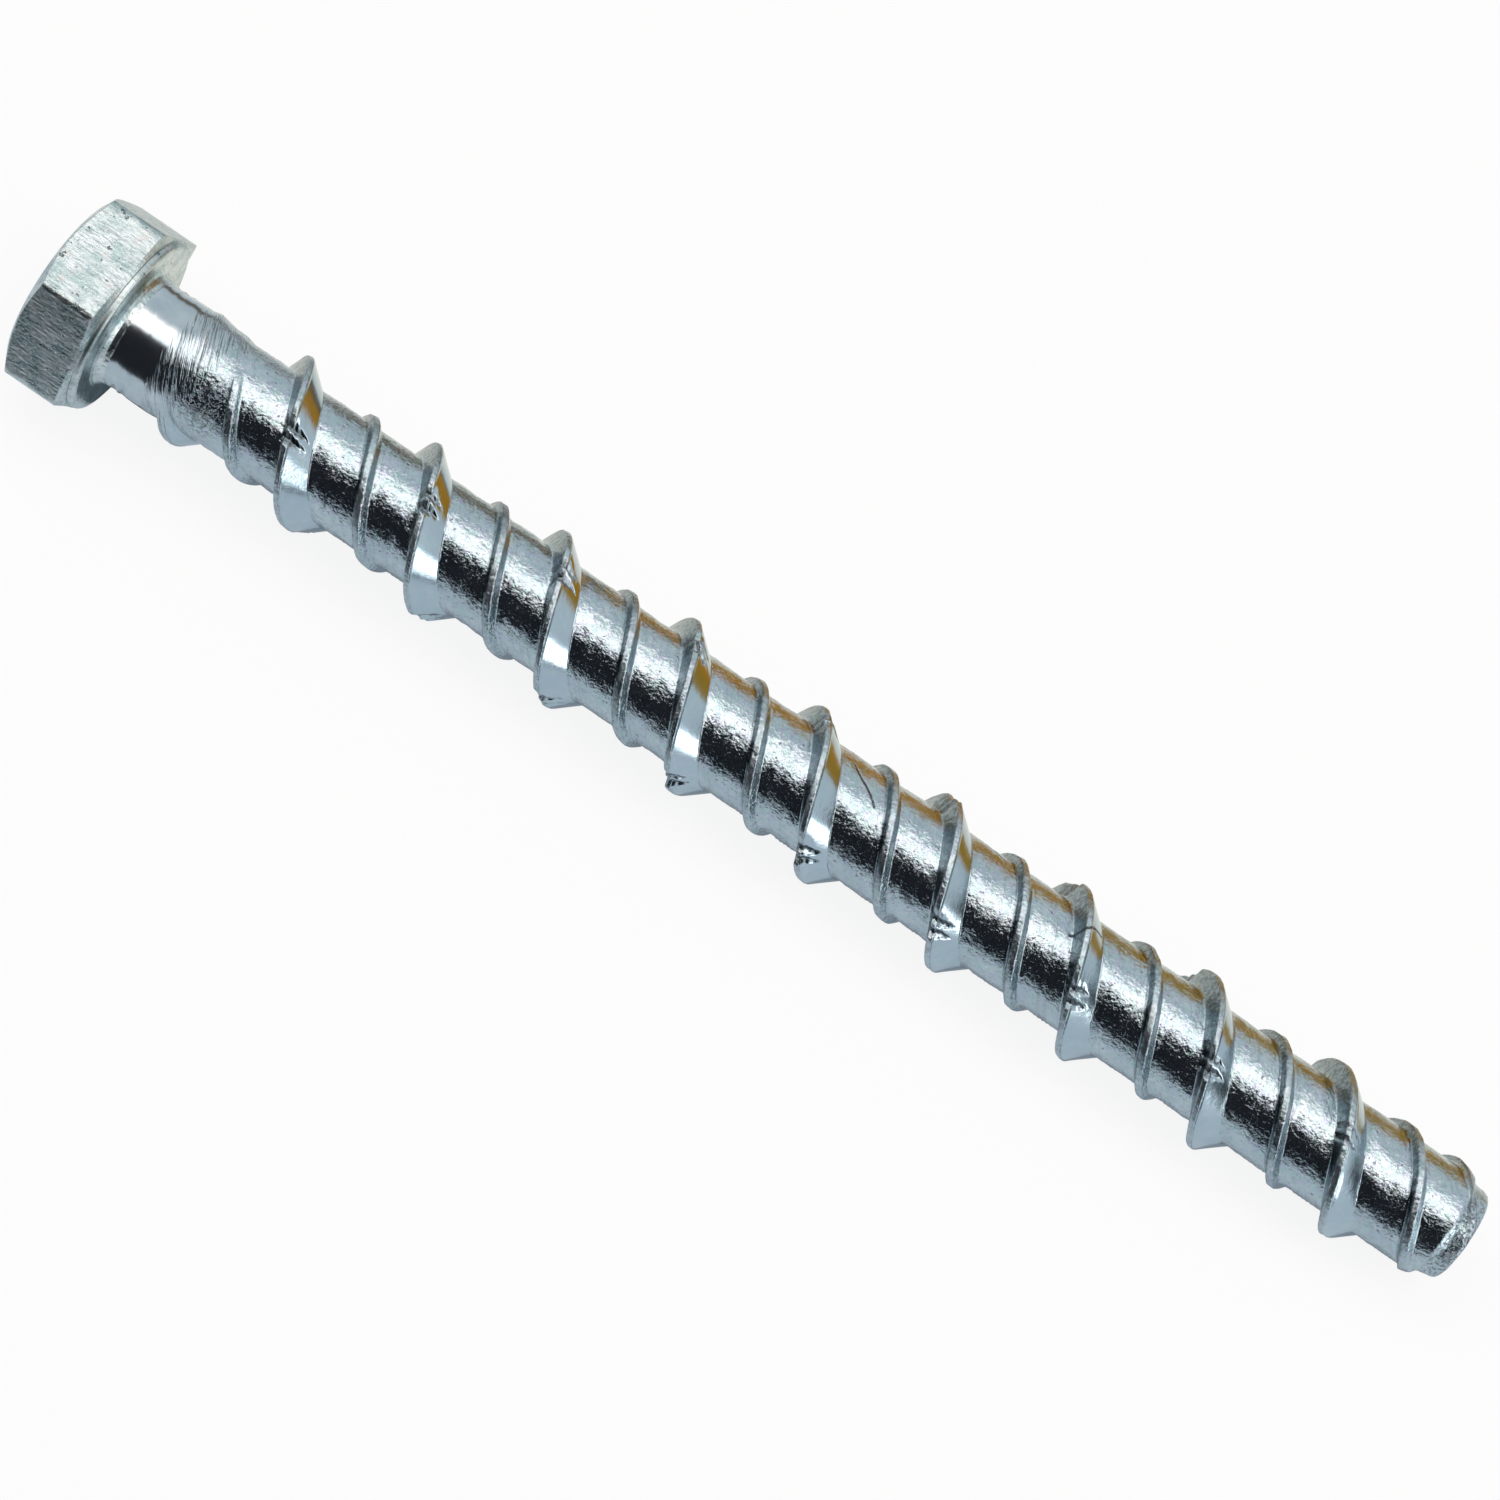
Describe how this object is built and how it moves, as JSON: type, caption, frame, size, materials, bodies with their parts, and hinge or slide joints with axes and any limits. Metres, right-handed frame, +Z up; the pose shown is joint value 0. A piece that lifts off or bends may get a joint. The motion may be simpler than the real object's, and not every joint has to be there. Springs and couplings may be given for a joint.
{
  "type": "concrete screw",
  "caption": "Hex-head concrete screw with a washer face and a nicked high-low thread, zinc plated, lying on its side.",
  "frame": {"origin": "centre of the bottom of the box around the screw as it lies on a floor", "axes": "+X runs from the head towards the tip, dipping by under one degree, and +Z is up from the floor the screw lies on"},
  "size_m": [0.1582, 0.022, 0.0191],
  "materials": {
    "zinc_plated_steel": "bright bluish zinc plating, finely mottled and scratched, with a few amber stains"
  },
  "bodies": {
    "root": {"concrete_screw": "zinc_plated_steel"}
  },
  "joints": []
}
